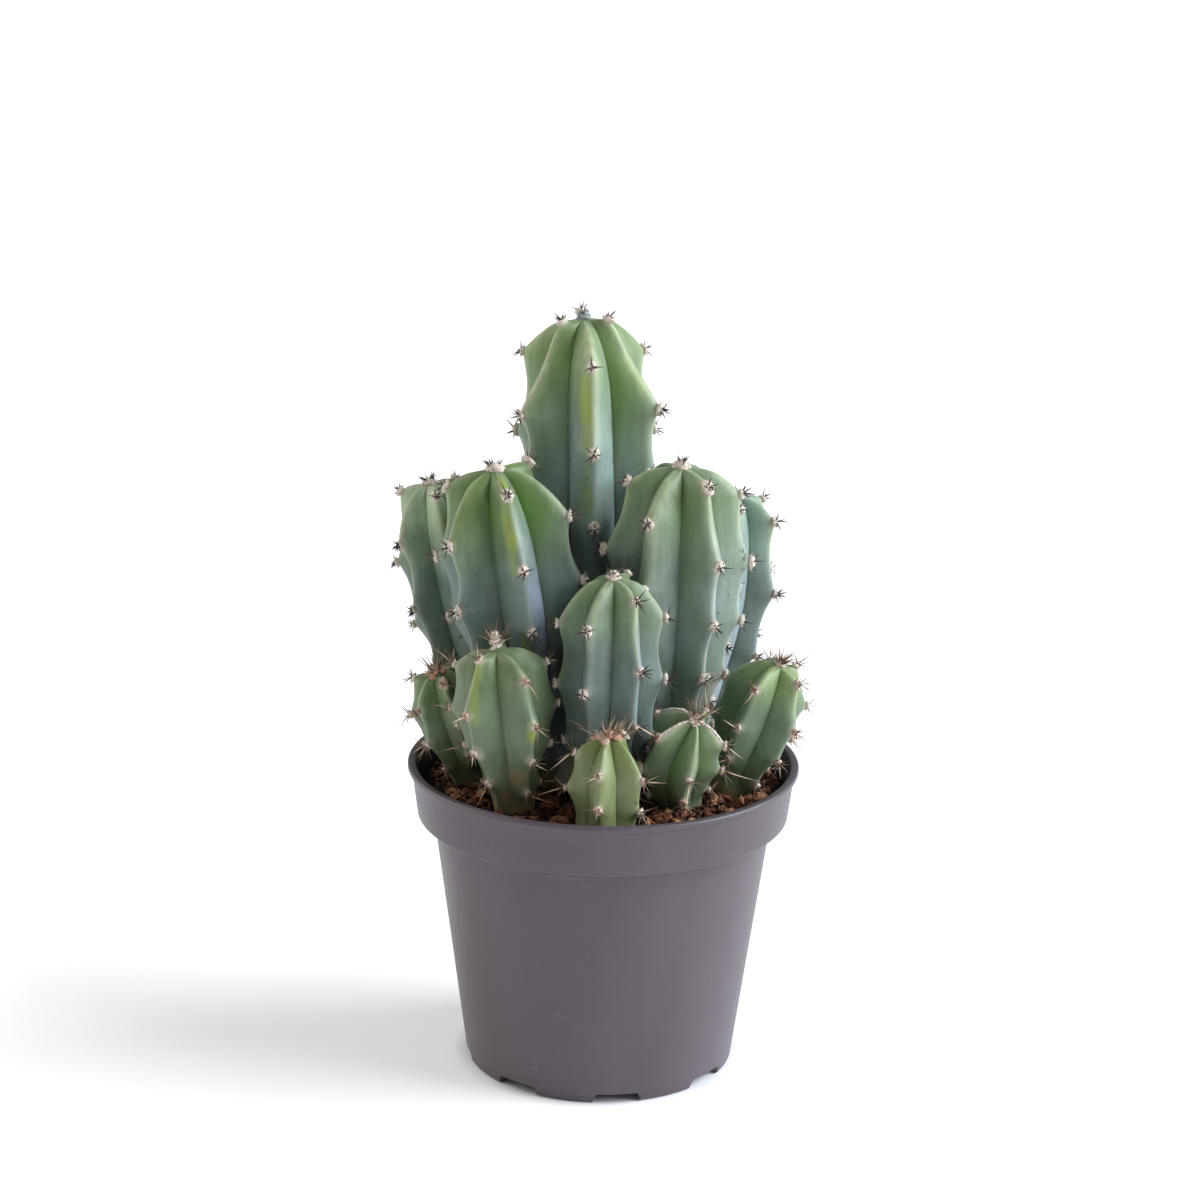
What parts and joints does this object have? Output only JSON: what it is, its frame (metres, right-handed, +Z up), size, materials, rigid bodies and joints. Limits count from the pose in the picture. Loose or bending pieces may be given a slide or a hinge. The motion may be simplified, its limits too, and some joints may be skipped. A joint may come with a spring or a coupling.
{
  "type": "potted tall cactus",
  "caption": "Clump of upright ribbed and spined blue-green cactus stems of mixed heights, growing in bark and peat soil in a round tapered nursery pot with a deep collar.",
  "frame": {"origin": "centre of the circle the pot's foot ring stands on", "axes": "+Z up along the pot's axis, -Y towards the front, where the shortest stems stand, +X to the right seen from the front"},
  "size_m": [0.1338, 0.1217, 0.2305],
  "materials": {
    "pot_plastic": "satin",
    "soil": "matte",
    "stem_flesh": "matte",
    "young_flesh": "matte",
    "spines": "satin",
    "areole_wool": "matte"
  },
  "bodies": {
    "root": {"pot": "pot_plastic", "soil": "soil", "stem_tall_back": "stem_flesh", "stem_tall_left": "stem_flesh", "stem_tall_right": "stem_flesh", "stem_far_left": "stem_flesh", "stem_far_right": "stem_flesh", "stem_middle": "stem_flesh", "stem_low_left": "stem_flesh", "stem_low_far_left": "stem_flesh", "stem_low_right": "stem_flesh", "stem_young_front": "young_flesh", "stem_young_right": "young_flesh"}
  },
  "joints": []
}
